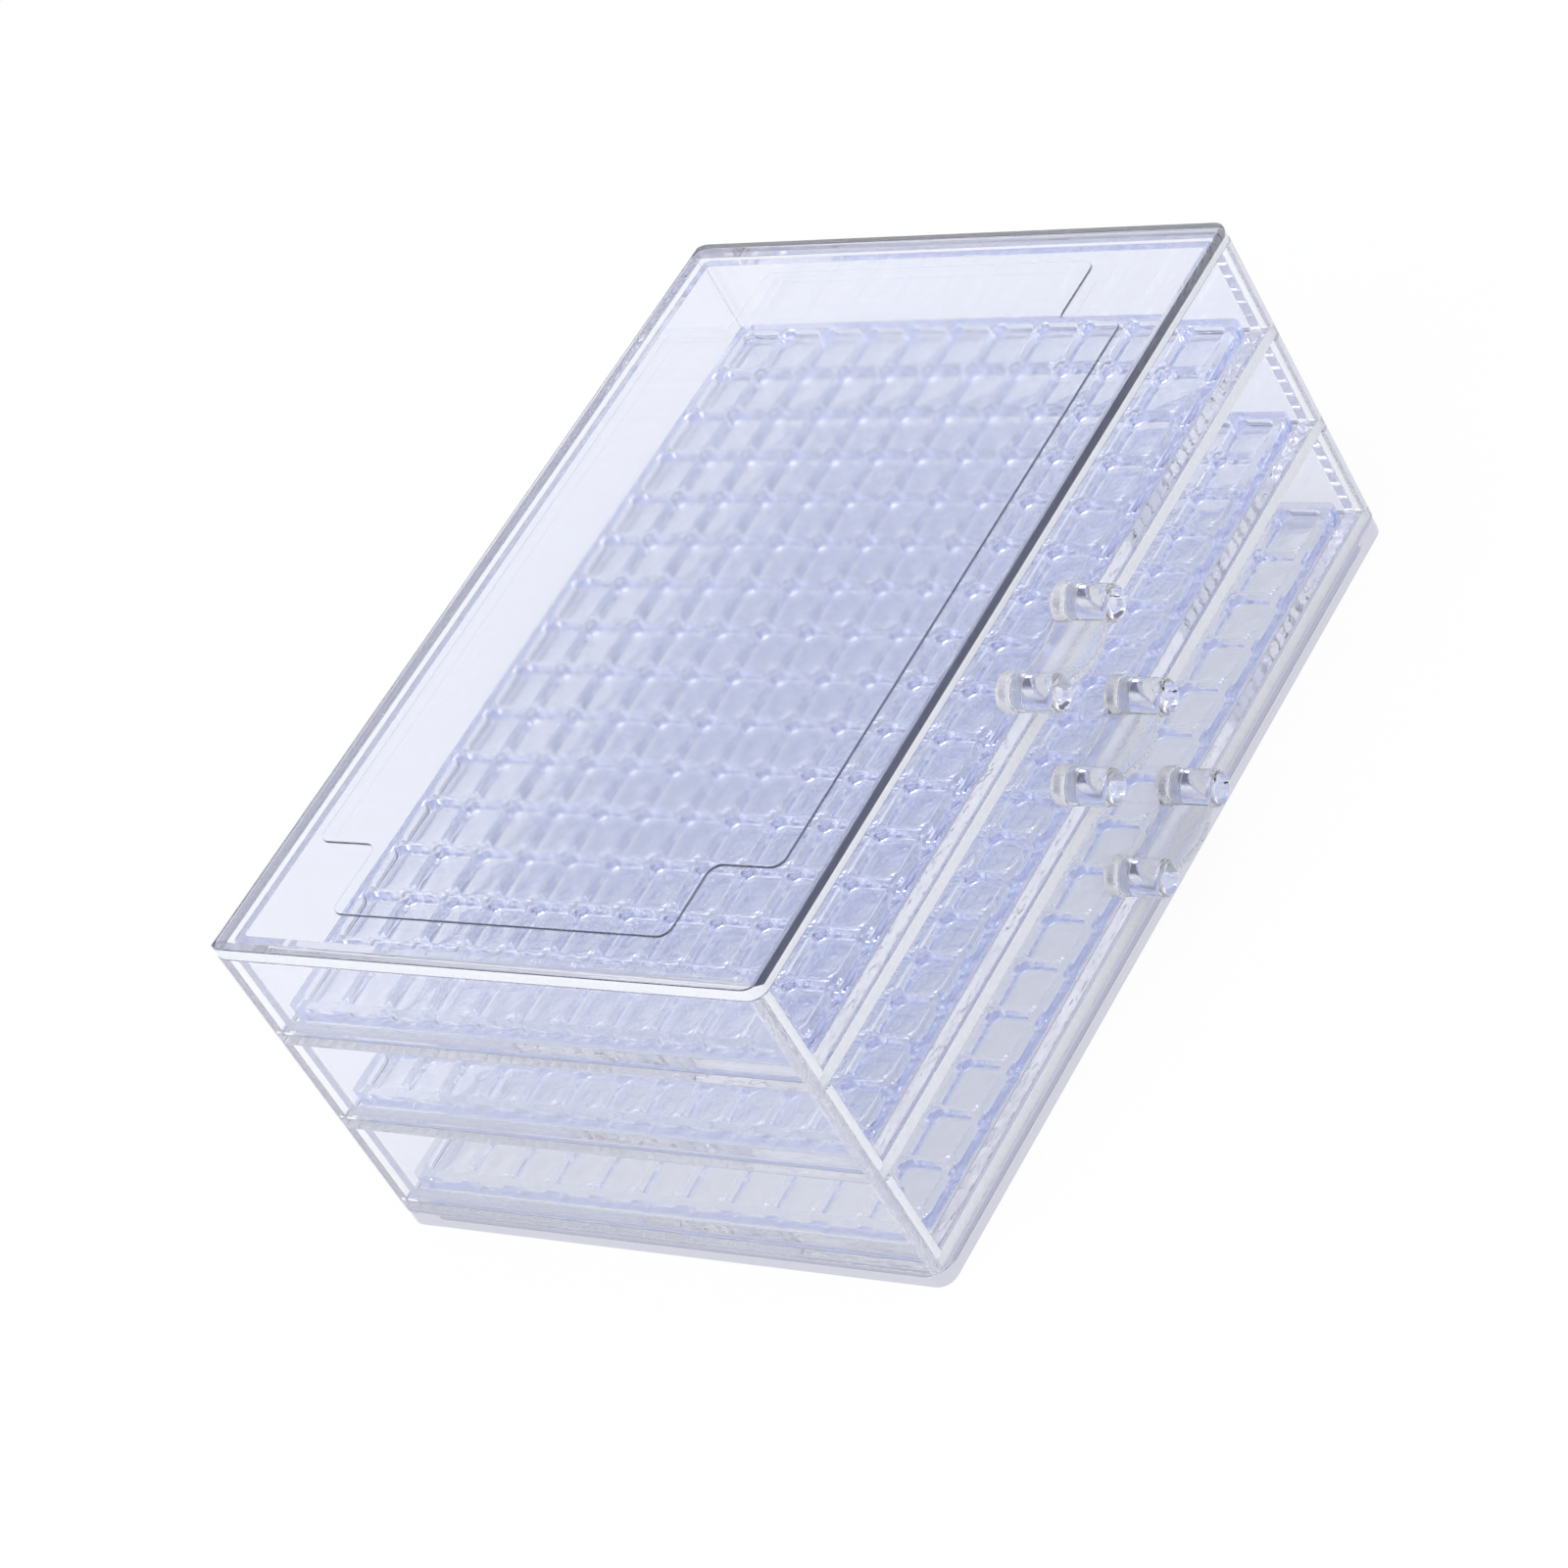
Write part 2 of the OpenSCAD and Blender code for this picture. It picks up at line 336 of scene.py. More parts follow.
def face_outwards():
    """In edit mode, turns every face outwards."""
    bpy.ops.mesh.select_all(action="SELECT")
    bpy.ops.mesh.normals_make_consistent(inside=False)


def round_edges(piece, wanted, radius, segments):
    """Bevels the wanted edges of a piece."""
    edit(piece)
    pick_edges(wanted)
    bpy.ops.mesh.bevel(offset=radius, segments=segments, affect="EDGES")
    done()


def apply_modifier(piece, kind, **settings):
    """Adds a modifier, sets it and applies it."""
    bpy.context.view_layer.objects.active = piece
    modifier = piece.modifiers.new(kind.lower(), kind)
    for name, value in settings.items():
        setattr(modifier, name, value)
    bpy.ops.object.modifier_apply(modifier=modifier.name)


def combine(piece, tool, operation):
    """Cuts a tool shape out of a piece, or joins it on, and throws the tool away."""
    apply_modifier(piece, "BOOLEAN", object=tool, operation=operation, solver="EXACT")
    bpy.data.objects.remove(tool)


def soften(piece, radius, segments=2):
    """Takes off every sharp edge."""
    apply_modifier(
        piece, "BEVEL", width=radius, segments=segments,
        limit_method="ANGLE", angle_limit=SHARP_ANGLE,
    )


def shade_smooth(piece):
    """Smooths the rounded edges. Broad faces stay flat, as they weigh more in a shared normal."""
    bpy.ops.object.select_all(action="DESELECT")
    bpy.context.view_layer.objects.active = piece
    piece.select_set(True)
    bpy.ops.object.shade_smooth_by_angle(angle=SHARP_ANGLE)
    apply_modifier(piece, "WEIGHTED_NORMAL", weight=BROAD_WEIGHT, keep_sharp=True)


def upright(middle, direction):
    return abs(direction.z) > UPRIGHT_COSINE


def level(middle, direction):
    return abs(direction.z) < LEVEL_COSINE


def stand_for(piece, node, body, slot, *finishes):
    """Finishes a piece: it replaces a measured node, rides on its body and gets its finishes."""
    for finish in finishes:
        piece.data.materials.append(finish)
    shade_smooth(piece)
    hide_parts(node)
    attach(piece, body)
    print(piece.name, len(piece.data.polygons), "faces")


# %% [markdown]
# Three surface effects are shared. Moulded and cast plastic is never quite flat, so light that
# crosses it wavers: a low noise feeds a Bump node. A handled box also has hair scratches, which
# raise the roughness along thin lines. And the underside of the top is a little dull in its
# middle, so the trays blur there and stay sharp near the rim. Each effect is a node group, built
# once, and each material gives it its own scale and strength.

# %% Shared surface effects
WAVE_VALUES = {"Scale": 30, "Fine share": 0.2}
WAVE_DETAIL = 1
FINE_TIMES = 6
FINE_DETAIL = 2
SCRATCH_VALUES = {"Low": 0.0, "High": 0.1}
SCRATCH_RUNS = (  # turn and stretch
    ((0.2, 0.1, 0.5), (900, 14, 14)),
    ((0.2, 0.1, -0.9), (14, 1100, 14)),
)
SCRATCH_DETAIL = 2
SCRATCH_LEVEL = 0.70
HAZE_VALUES = {"Half width": 0.11, "Half depth": 0.075, "Below": 0.09, "Amount": 0.1}
HAZE_FADE = (1.1, 0.5)


def effect_group(name, values, result):
    """An empty node group with value inputs, Object coordinates inside and one value output."""
    group = bpy.data.node_groups.new(name, "ShaderNodeTree")
    for key, value in values.items():
        socket = group.interface.new_socket(key, in_out="INPUT", socket_type="NodeSocketFloat")
        socket.default_value = value
    group.interface.new_socket(result, in_out="OUTPUT", socket_type="NodeSocketFloat")
    start = group.nodes.new("NodeGroupInput")
    end = group.nodes.new("NodeGroupOutput")
    place = group.nodes.new("ShaderNodeTexCoord").outputs["Object"]
    return group, start.outputs, end.inputs[result], place


def noise(tree, place, scale, detail):
    """A noise texture's value. Its scale is a number or an output."""
    node = tree.nodes.new("ShaderNodeTexNoise")
    node.inputs["Detail"].default_value = detail
    link(tree, scale, node.inputs["Scale"])
    link(tree, place, node.inputs["Vector"])
    return node.outputs["Fac"]


flow_waves, given, result, place = effect_group("flow_waves", WAVE_VALUES, "Height")
broad = noise(flow_waves, place, given["Scale"], WAVE_DETAIL)
fine_scale = math_node(flow_waves, "MULTIPLY", given["Scale"], FINE_TIMES)
fine = noise(flow_waves, place, fine_scale, FINE_DETAIL)
fine_part = math_node(flow_waves, "MULTIPLY", fine, given["Fine share"])
link(flow_waves, math_node(flow_waves, "ADD", broad, fine_part), result)

hair_scratches, given, result, place = effect_group(
    "hair_scratches", SCRATCH_VALUES, "Roughness"
)
lines = 0.0
for turn, stretch in SCRATCH_RUNS:
    turned = hair_scratches.nodes.new("ShaderNodeMapping")
    turned.inputs["Rotation"].default_value = turn
    turned.inputs["Scale"].default_value = stretch
    link(hair_scratches, place, turned.inputs["Vector"])
    streak = noise(hair_scratches, turned.outputs["Vector"], 1, SCRATCH_DETAIL)
    sharp = math_node(hair_scratches, "GREATER_THAN", streak, SCRATCH_LEVEL)
    lines = math_node(hair_scratches, "MAXIMUM", lines, sharp)
scored = map_range(hair_scratches, lines, new=(given["Low"], given["High"]))
link(hair_scratches, scored, result)

handling_haze, given, result, place = effect_group("handling_haze", HAZE_VALUES, "Roughness")
parts = handling_haze.nodes.new("ShaderNodeSeparateXYZ")
link(handling_haze, place, parts.inputs[0])
squares = 0.0
for axis, half in (("X", "Half width"), ("Y", "Half depth")):
    share = math_node(handling_haze, "DIVIDE", parts.outputs[axis], given[half])
    square = math_node(handling_haze, "MULTIPLY", share, share)
    squares = math_node(handling_haze, "ADD", squares, square)
fade = map_range(handling_haze, squares, HAZE_FADE, kind="SMOOTHSTEP")
below = math_node(handling_haze, "LESS_THAN", parts.outputs["Z"], given["Below"])
dull = math_node(handling_haze, "MULTIPLY", fade, below)
link(handling_haze, math_node(handling_haze, "MULTIPLY", dull, given["Amount"]), result)
print("effects:", [g.name for g in bpy.data.node_groups])

# %% [markdown]
# The plastic itself: a Principled shader that passes all light on, with the bend of acrylic, and
# a faint lavender absorption inside it. The tint could be painted on the surface, but then a thin
# rim and a long edge would look alike. Absorption makes an edge deeper in colour than a face, as
# in a real sheet. It is strongest in the top, where light that enters the front rim runs to the
# back and comes out navy, and in the trays with their blue ribs.

# %% Clear finishes
ACRYLIC_BEND = 1.49
FACE_TINT = (0.978, 0.980, 0.989, 1)
TOP_FACE_TINT = (0.995, 0.995, 0.997, 1)
DEPTH_TINT = (0.72, 0.73, 0.80, 1)
# Deeper than the panels' tint: partly the plastic's lavender, partly painted shade of the floor
# under the box.
PLINTH_TINT_AND_SHADE = (0.58, 0.59, 0.72, 1)
TUB_TINT = (0.962, 0.969, 0.995, 1)
GRID_FACE_TINT = (0.975, 0.983, 0.998, 1)
GRID_DEPTH_TINT = (0.60, 0.66, 0.90, 1)
SHEET_WAVES = (14, 0.07 * MM)  # scale and height
TUB_WAVES = (22, 0.08 * MM)
GRID_WAVES = (60, 0.06 * MM)
PULL_WAVES = (60, 0.08 * MM)
SHEET_SCRATCH = 0.10
MOULDED_SCRATCH = 0.08
PULL_SCRATCH = 0.06
SHEET_DENSITY = 4
TOP_DENSITY = 25
GRID_DENSITY = 28
TOP_HAZE = 0.09
TOP_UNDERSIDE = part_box("top_panel")[0].z + NEAR


def effect(tree, group, **values):
    """A shared effect's value, with a material's own settings."""
    node = tree.nodes.new("ShaderNodeGroup")
    node.node_tree = group
    for key, value in values.items():
        node.inputs[key].default_value = value
    return node.outputs[0]


def bump(tree, height, distance):
    """The normal of a surface with this height pattern."""
    node = tree.nodes.new("ShaderNodeBump")
    node.inputs["Strength"].default_value = 1
    node.inputs["Distance"].default_value = distance
    link(tree, height, node.inputs["Height"])
    return node.outputs["Normal"]


def acrylic(name, clear_share):
    """A material with one plastic shader that passes on the given share of the light."""
    material, tree, output = new_material(name)
    shader = tree.nodes.new("ShaderNodeBsdfPrincipled")
    shader.inputs["IOR"].default_value = ACRYLIC_BEND
    shader.inputs["Transmission Weight"].default_value = clear_share
    link(tree, shader.outputs["BSDF"], output.inputs["Surface"])
    return material, tree, shader.inputs, output


def clear_plastic(name, waves, scratch, density, haze=0, tint=FACE_TINT, depth=DEPTH_TINT):
    """Clear plastic with waves, scratches, some haze and a tint that deepens with thickness."""
    material, tree, plastic, output = acrylic(name, 1)
    plastic["Base Color"].default_value = tint
    roughness = effect(tree, hair_scratches, High=scratch)
    if haze:
        dull = effect(tree, handling_haze, Amount=haze, Below=TOP_UNDERSIDE)
        roughness = math_node(tree, "MAXIMUM", roughness, dull)
    link(tree, roughness, plastic["Roughness"])
    wave_scale, wave_height = waves
    height = effect(tree, flow_waves, Scale=wave_scale)
    link(tree, bump(tree, height, wave_height), plastic["Normal"])
    if density:
        inside = tree.nodes.new("ShaderNodeVolumeAbsorption")
        inside.inputs["Color"].default_value = depth
        inside.inputs["Density"].default_value = density
        link(tree, inside.outputs["Volume"], output.inputs["Volume"])
    return material


clear_sheet = clear_plastic("clear_sheet", SHEET_WAVES, SHEET_SCRATCH, SHEET_DENSITY)
hazy_sheet = clear_plastic(
    "hazy_sheet", SHEET_WAVES, SHEET_SCRATCH, TOP_DENSITY, haze=TOP_HAZE, tint=TOP_FACE_TINT
)
# The plinth's finish: its deep tint is partly painted shade of the shadowed floor seen through
# it.
skirt_tint_and_shade = clear_plastic(
    "skirt_tint_and_shade", SHEET_WAVES, SHEET_SCRATCH, SHEET_DENSITY, tint=PLINTH_TINT_AND_SHADE
)
clear_tub = clear_plastic("clear_tub", TUB_WAVES, MOULDED_SCRATCH, SHEET_DENSITY, tint=TUB_TINT)
clear_grid = clear_plastic(
    "clear_grid", GRID_WAVES, MOULDED_SCRATCH, GRID_DENSITY,
    tint=GRID_FACE_TINT, depth=GRID_DEPTH_TINT,
)
clear_pull = clear_plastic("clear_pull", PULL_WAVES, PULL_SCRATCH, 0)
print("finishes so far:", [m.name for m in bpy.data.materials])

# %% [markdown]
# A sheet's edges are sawn and left matt. Thousands of small scores scatter the light, so the edge
# looks pale and solid where the face beside it is clear. A fine noise stands for the scores. The
# same recipe, partly clear, serves for the handles' hazy roots and tongues. On the tongue's lip,
# the roots' finish is a painted highlight, where the rounded edge catches the light. A finish
# goes on by faces, picked by place and direction, because one moulding can be polished on one
# side and matt on another.

# %% Matt and hazy finishes
SAW_SCALE = 1400
SAW_DETAIL = 3
SAW_DEPTH = 0.05 * MM
SAW_STOPS = (0.3, 0.7)
EDGE_TONES = ((0.71, 0.72, 0.72, 1), (0.78, 0.78, 0.77, 1))
EDGE_ROUGH = (0.35, 0.6)
# Pale tones of the hazy roots and tongue; on the tongue's lip they are a painted highlight.
PULL_TONES_AND_LIP_HIGHLIGHT = ((0.94, 0.945, 0.97, 1), (0.99, 0.99, 0.995, 1))
COLLAR_CLEAR = 0.65
COLLAR_ROUGH = (0.2, 0.4)
TONGUE_CLEAR = 0.92
TONGUE_ROUGH = (0.03, 0.1)


def scored_finish(name, tones, clear_share, rough):
    """Scored plastic: pale, clear to the given share, and rough within the given range."""
    material, tree, matt, output = acrylic(name, clear_share)
    place = tree.nodes.new("ShaderNodeTexCoord").outputs["Object"]
    saw = noise(tree, place, SAW_SCALE, SAW_DETAIL)
    link(tree, ramp(tree, saw, list(zip(SAW_STOPS, tones))), matt["Base Color"])
    link(tree, map_range(tree, saw, new=rough), matt["Roughness"])
    link(tree, bump(tree, saw, SAW_DEPTH), matt["Normal"])
    return material


pale_edge = scored_finish("pale_edge", EDGE_TONES, 0, EDGE_ROUGH)
# The roots' hazy finish, also painted on the tongue's lip as a highlight where its edge catches
# light.
collar_haze_and_lip_highlight = scored_finish("collar_haze_and_lip_highlight", PULL_TONES_AND_LIP_HIGHLIGHT, COLLAR_CLEAR, COLLAR_ROUGH)
hazy_tongue = scored_finish("hazy_tongue", PULL_TONES_AND_LIP_HIGHLIGHT, TONGUE_CLEAR, TONGUE_ROUGH)
print("scored finishes:", pale_edge.name, collar_haze_and_lip_highlight.name, hazy_tongue.name)


def paint(piece, finish, wanted):
    """Gives a finish to the faces whose middle and normal are wanted."""
    if finish.name not in piece.data.materials:
        piece.data.materials.append(finish)
    slot = piece.data.materials.find(finish.name)
    for face in piece.data.polygons:
        if wanted(face.center, face.normal):
            face.material_index = slot


# %% [markdown]
# The top panel is one moulding with round corners and a small radius all round. Its front and
# back rims are rolled over. A bevel that wide would swallow the small edges of the corners, so
# each roll is cut with a bar that has a quarter-round hollow, like a moulding plane. The upright
# edge faces are left matt. A low step on top lets another box sit on it. Its outline is a plane
# cut along four lines, with the four corner pieces deleted and every corner rounded.

# %% Top panel
CORNER_R = 4 * MM
CORNER_STEPS = 6
EDGE_R = 0.3 * MM
EDGE_STEPS = 2
TOP_T = 3.6 * MM
TOP_RIM_R = 2 * MM
RIM_SIDES = 48
RIM_UPRIGHT = 0.2
STEP_MARGIN = 12.3 * MM
STEP_NOTCH_X = 20.8 * MM
STEP_NOTCH_Y = 18.3 * MM
STEP_CORNER_R = 3 * MM
STEP_CORNER_STEPS = 5
STEP_EDGE_R = 0.25 * MM
STEP_SUNK = 1 * MM

panel_low, panel_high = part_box("top_panel")
rim_z = panel_low.z + TOP_T
roll_long = 5 * panel_high.x
top = block("top_panel_piece", panel_low, (panel_high.x, panel_high.y, rim_z))
round_edges(top, upright, CORNER_R, CORNER_STEPS)
round_edges(top, level, EDGE_R, EDGE_STEPS)


def rim_plane(edge_y, inward):
    """A bar along the width with a quarter-round hollow that leaves a rolled rim."""
    axis_y = edge_y + inward * TOP_RIM_R
    axis_z = rim_z - TOP_RIM_R
    outer_y = edge_y - inward * TOP_RIM_R
    bar = block(
        "rim_plane", (2 * panel_low.x, min(axis_y, outer_y), axis_z),
        (2 * panel_high.x, max(axis_y, outer_y), rim_z + TOP_RIM_R),
    )
    roll = primitive(
        bpy.ops.mesh.primitive_cylinder_add, vertices=RIM_SIDES, radius=TOP_RIM_R,
        depth=roll_long, location=(0, axis_y, axis_z), rotation=(0, QUARTER_TURN, 0),
    )
    combine(bar, roll, "DIFFERENCE")
    return bar


combine(top, rim_plane(panel_low.y, 1), "DIFFERENCE")
combine(top, rim_plane(panel_high.y, -1), "DIFFERENCE")


def step_solid():
    """The raised step, reaching down into the panel."""
    low = panel_low + Vector((STEP_MARGIN, STEP_MARGIN, 0))
    high = panel_high - Vector((STEP_MARGIN, STEP_MARGIN, 0))
    middle = (low + high) / 2
    step = primitive(
        bpy.ops.mesh.primitive_plane_add, (high.x - low.x, high.y - low.y, 1),
        size=1, location=(middle.x, middle.y, rim_z - STEP_SUNK),
    )
    notch_low = low + Vector((STEP_NOTCH_X, STEP_NOTCH_Y, 0))
    notch_high = high - Vector((STEP_NOTCH_X, STEP_NOTCH_Y, 0))

    def in_corner(m, n):
        return not (
            notch_low.x < m.x < notch_high.x or notch_low.y < m.y < notch_high.y
        )

    edit(step)
    for corner in (notch_low, notch_high):
        for normal in ((1, 0, 0), (0, 1, 0)):
            bpy.ops.mesh.select_all(action="SELECT")
            bpy.ops.mesh.bisect(plane_co=corner, plane_no=normal)
    pick_faces(in_corner)
    bpy.ops.mesh.delete(type="FACE")
    bpy.ops.mesh.select_all(action="SELECT")
    bpy.ops.mesh.dissolve_limited()
    bpy.ops.mesh.select_all(action="SELECT")
    bpy.ops.mesh.bevel(offset=STEP_CORNER_R, segments=STEP_CORNER_STEPS, affect="VERTICES")
    bpy.ops.mesh.select_all(action="SELECT")
    bpy.ops.mesh.extrude_region_move(
        TRANSFORM_OT_translate={"value": (0, 0, panel_high.z - rim_z + STEP_SUNK)}
    )
    face_outwards()
    done()
    round_edges(step, lambda m, d: m.z > panel_high.z - NEAR / 2, STEP_EDGE_R, EDGE_STEPS)
    return step


combine(top, step_solid(), "UNION")
stand_for(top, "top_panel", "case", "clear_panel", hazy_sheet)
paint(top, pale_edge, lambda m, n: abs(n.z) < RIM_UPRIGHT and m.z < rim_z)

# %% [markdown]
# The side and back panels are sheets with three grooves each. The shelf plates are let into the
# grooves, and a hair of glue stays visible all round. Each groove is a block, one glue line
# larger than its plate, cut out with the Boolean modifier, which is how a router would do it.

# %% Side panels, back panel and plates
GLUE = 0.1 * MM
GROOVE_OVER = 1 * MM
SIDE_CORNER_R = 3.5 * MM
SHEET_EDGE_R = 0.2 * MM
PLATE_EDGE_STEPS = 3
SIDE_FRONT = -0.85
PLATE_FRONT = -0.5
PLATE_NODES = ("floor_plate", "lower_shelf", "upper_shelf")


def cut_grooves(piece):
    """Cuts the room for the three plates, open at the front."""
    for node in PLATE_NODES:
        low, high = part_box(node)
        room_low = low - Vector((GLUE, GROOVE_OVER, GLUE))
        room_high = high + Vector((GLUE, GLUE, GLUE))
        combine(piece, block("groove", room_low, room_high), "DIFFERENCE")


for node, side in (("left_side_panel", -1), ("right_side_panel", 1)):
    sheet = block(node + "_piece", *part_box(node))
    outer_x = side * cad_high.x
    round_edges(
        sheet, lambda m, d: upright(m, d) and abs(m.x - outer_x) < EDGE_R,
        SIDE_CORNER_R, CORNER_STEPS,
    )
    cut_grooves(sheet)
    soften(sheet, SHEET_EDGE_R)
    stand_for(sheet, node, "case", "clear_panel", clear_sheet)
    paint(sheet, pale_edge, lambda m, n: n.y < SIDE_FRONT)

back = block("back_panel_piece", *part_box("back_panel"))
cut_grooves(back)
soften(back, SHEET_EDGE_R)
stand_for(back, "back_panel", "case", "clear_panel", clear_sheet)

for node in PLATE_NODES:
    plate = block(node + "_piece", *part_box(node))
    soften(plate, EDGE_R, PLATE_EDGE_STEPS)
    stand_for(plate, node, "case", "pale_plate", clear_sheet)
    paint(plate, pale_edge, lambda m, n: n.y < PLATE_FRONT)

# %% [markdown]
# The plinth is a low ring under the floor plate. It could be four strips, but on the real box the
# corners run round without a joint, so it is one rounded block with a smaller rounded block cut
# out of it.

# %% Plinth
PLINTH_WIDE = 6.5 * MM
HOLLOW_STEPS = 4

plinth_low, plinth_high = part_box("plinth")
ring = block("plinth_piece", plinth_low, plinth_high)
round_edges(ring, upright, CORNER_R, CORNER_STEPS)
across = Vector((PLINTH_WIDE, PLINTH_WIDE, 0))
past = Vector((0, 0, GROOVE_OVER))
hollow = block("plinth_hollow", plinth_low + across - past, plinth_high - across + past)
round_edges(hollow, upright, CORNER_R / 2, HOLLOW_STEPS)
combine(ring, hollow, "DIFFERENCE")
soften(ring, EDGE_R)
# The plinth's deep tint is partly painted shade.
stand_for(ring, "plinth", "case", "clear_panel", skirt_tint_and_shade)

# %% [markdown]
# A drawer is a moulded tub. Its front is thicker than its other walls, its inner corners are
# rounded so that it leaves the mould, and its front has two holes for the handle's pegs. The well
# is a rounded block cut out of a rounded block. Insetting the top face would be quicker, but it
# can't give the front another thickness.

# %% Drawers
DRAWER_R = 1.5 * MM
DRAWER_STEPS = 4
DRAWER_EDGE_R = 0.25 * MM
FRONT_T = 3 * MM
WALL_T = 2.2 * MM
FLOOR_T = 1.8 * MM
WELL_R = 0.9 * MM
WELL_STEPS = 3
PEG_HOLE_R = 2.6 * MM
PEG_HOLE_SIDES = 32
PEG_TOOL_LONG = 3 * FRONT_T
POST_SPAN = 27.5 * MM
HANDLE_UP = 10.2 * MM


def peg_hole(x, y, z):
    """A round tool along the depth, for one peg hole."""
    return primitive(
        bpy.ops.mesh.primitive_cylinder_add, vertices=PEG_HOLE_SIDES, radius=PEG_HOLE_R,
        depth=PEG_TOOL_LONG, location=(x, y, z), rotation=(QUARTER_TURN, 0, 0),
    )


for bay in BAYS:
    low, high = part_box(bay + "_drawer")
    tub = block(bay + "_drawer_piece", low, high)
    round_edges(tub, upright, DRAWER_R, DRAWER_STEPS)
    well = block(
        "well", low + Vector((WALL_T, FRONT_T, FLOOR_T)),
        high + Vector((-WALL_T, -WALL_T, GROOVE_OVER)),
    )
    foot_z = low.z + FLOOR_T + EDGE_R
    round_edges(well, lambda m, d: upright(m, d) or m.z < foot_z, WELL_R, WELL_STEPS)
    combine(tub, well, "DIFFERENCE")
    for side in (-1, 1):
        hole = peg_hole(side * POST_SPAN / 2, low.y, low.z + HANDLE_UP)
        combine(tub, hole, "DIFFERENCE")
    soften(tub, DRAWER_EDGE_R)
    stand_for(tub, bay + "_drawer", bay + "_drawer", "clear_drawer", clear_tub)

# %% [markdown]
# A pull handle has two turned posts with a collar and a rounded end, and a thin tongue that dips
# between them. A post starts as a circle the size of its peg, and is extruded and resized ring by
# ring, as on a lathe. The tongue is a small upright face spun through an arc, then trimmed to its
# bowed front edge. The mould leaves the roots and the tongue a little hazy, so those faces get
# the hazy finishes. The tongue's lip gets the roots' paler finish as a painted highlight, where
# its rounded edge catches the light.

# %% Pull handles
POST_R = 4.4 * MM
POST_OUT = 15 * MM
POST_SIDES = 40
POST_END_R = 1.8 * MM
POST_END_STEPS = 5
COLLAR_R = 4.8 * MM
COLLAR_T = 3 * MM
COLLAR_LEAST = 0.95 * COLLAR_R
COLLAR_BAND = (0.9 * POST_R, 1.1 * COLLAR_R)
COLLAR_EDGE_R = 0.35 * MM
COLLAR_EDGE_STEPS = 3
PEG_R = 2.5 * MM
SHAFT_LENGTH = POST_OUT - COLLAR_T
TONGUE_T = 1.6 * MM
TONGUE_SAG = 2.6 * MM
TONGUE_SIDE_OUT = 11.5 * MM
TONGUE_MID_OUT = 15 * MM
TONGUE_STEPS = 20
TONGUE_EDGE_R = 0.65 * MM
TONGUE_EDGE_STEPS = 3
BOW_SIDES = 256
BOW_TALL = 20 * MM
MERGE_GAP = 0.01 * MM
HAZY_HALF = POST_SPAN / 2 - 0.95 * POST_R
LIP_COSINE = 0.4


def push(distance):
    """Extrudes the selected end face towards the front."""
    bpy.ops.mesh.extrude_region_move(TRANSFORM_OT_translate={"value": (0, -distance, 0)})


def grow(middle, factor):
    """Adds a ring of another size round the end's middle."""
    push(0)
    bpy.ops.transform.resize(value=(factor, 1, factor), center_override=middle)


def post(x, root_y, z):
    """One post: peg, collar, shaft and rounded end."""
    shape = primitive(
        bpy.ops.mesh.primitive_circle_add, vertices=POST_SIDES, radius=PEG_R, fill_type="NGON",
        location=(x, root_y + FRONT_T, z), rotation=(QUARTER_TURN, 0, 0),
    )
    end_y = root_y - POST_OUT

    def on_collar(m, d):
        off_axis = math.hypot(m.x - x, m.z - z)
        around = abs(d.y) < LEVEL_COSINE
        return around and COLLAR_LEAST < off_axis and m.y < root_y + EDGE_R

    edit(shape)
    bpy.ops.mesh.select_all(action="SELECT")
    push(FRONT_T)
    grow((x, root_y, z), COLLAR_R / PEG_R)
    push(COLLAR_T)
    grow((x, root_y, z), POST_R / COLLAR_R)
    push(SHAFT_LENGTH)
    face_outwards()
    pick_edges(lambda m, d: abs(m.y - end_y) < NEAR)
    bpy.ops.mesh.bevel(offset=POST_END_R, segments=POST_END_STEPS, affect="EDGES")
    pick_edges(on_collar)
    bpy.ops.mesh.bevel(offset=COLLAR_EDGE_R, segments=COLLAR_EDGE_STEPS, affect="EDGES")
    done()
    return shape


def arc_radius(half_chord, rise):
    return (half_chord**2 + rise**2) / (2 * rise)


def tongue(root_y, z):
    """The curved tongue between the posts."""
    half = POST_SPAN / 2
    dip_r = arc_radius(half, TONGUE_SAG)
    centre = Vector((0, root_y, z - TONGUE_SAG + dip_r))
    swing = math.asin(half / dip_r)
    leaf = primitive(
        bpy.ops.mesh.primitive_plane_add, (TONGUE_T, TONGUE_MID_OUT, 1), size=1,
        location=(0, root_y - TONGUE_MID_OUT / 2, z - TONGUE_SAG), rotation=(0, QUARTER_TURN, 0),
    )
    edit(leaf)
    bpy.ops.mesh.select_all(action="SELECT")
    bpy.ops.transform.rotate(value=swing, orient_axis="Y", center_override=centre)
    first = min(v.co.x for v in bmesh.from_edit_mesh(leaf.data).verts)
    sweep = -2 * swing if first < 0 else 2 * swing
    bpy.ops.mesh.spin(steps=TONGUE_STEPS, angle=sweep, center=centre, axis=(0, -1, 0))
    bpy.ops.mesh.select_all(action="SELECT")
    bpy.ops.mesh.remove_doubles(threshold=MERGE_GAP)
    face_outwards()
    done()
    print("tongue spans, mm:", [round(v / MM, 2) for v in leaf.dimensions])
    bow_r = arc_radius(half, TONGUE_MID_OUT - TONGUE_SIDE_OUT)
    bow = primitive(
        bpy.ops.mesh.primitive_cylinder_add, vertices=BOW_SIDES, radius=bow_r, depth=BOW_TALL,
        location=(0, root_y - TONGUE_MID_OUT + bow_r, z),
    )
    combine(leaf, bow, "INTERSECT")
    return leaf


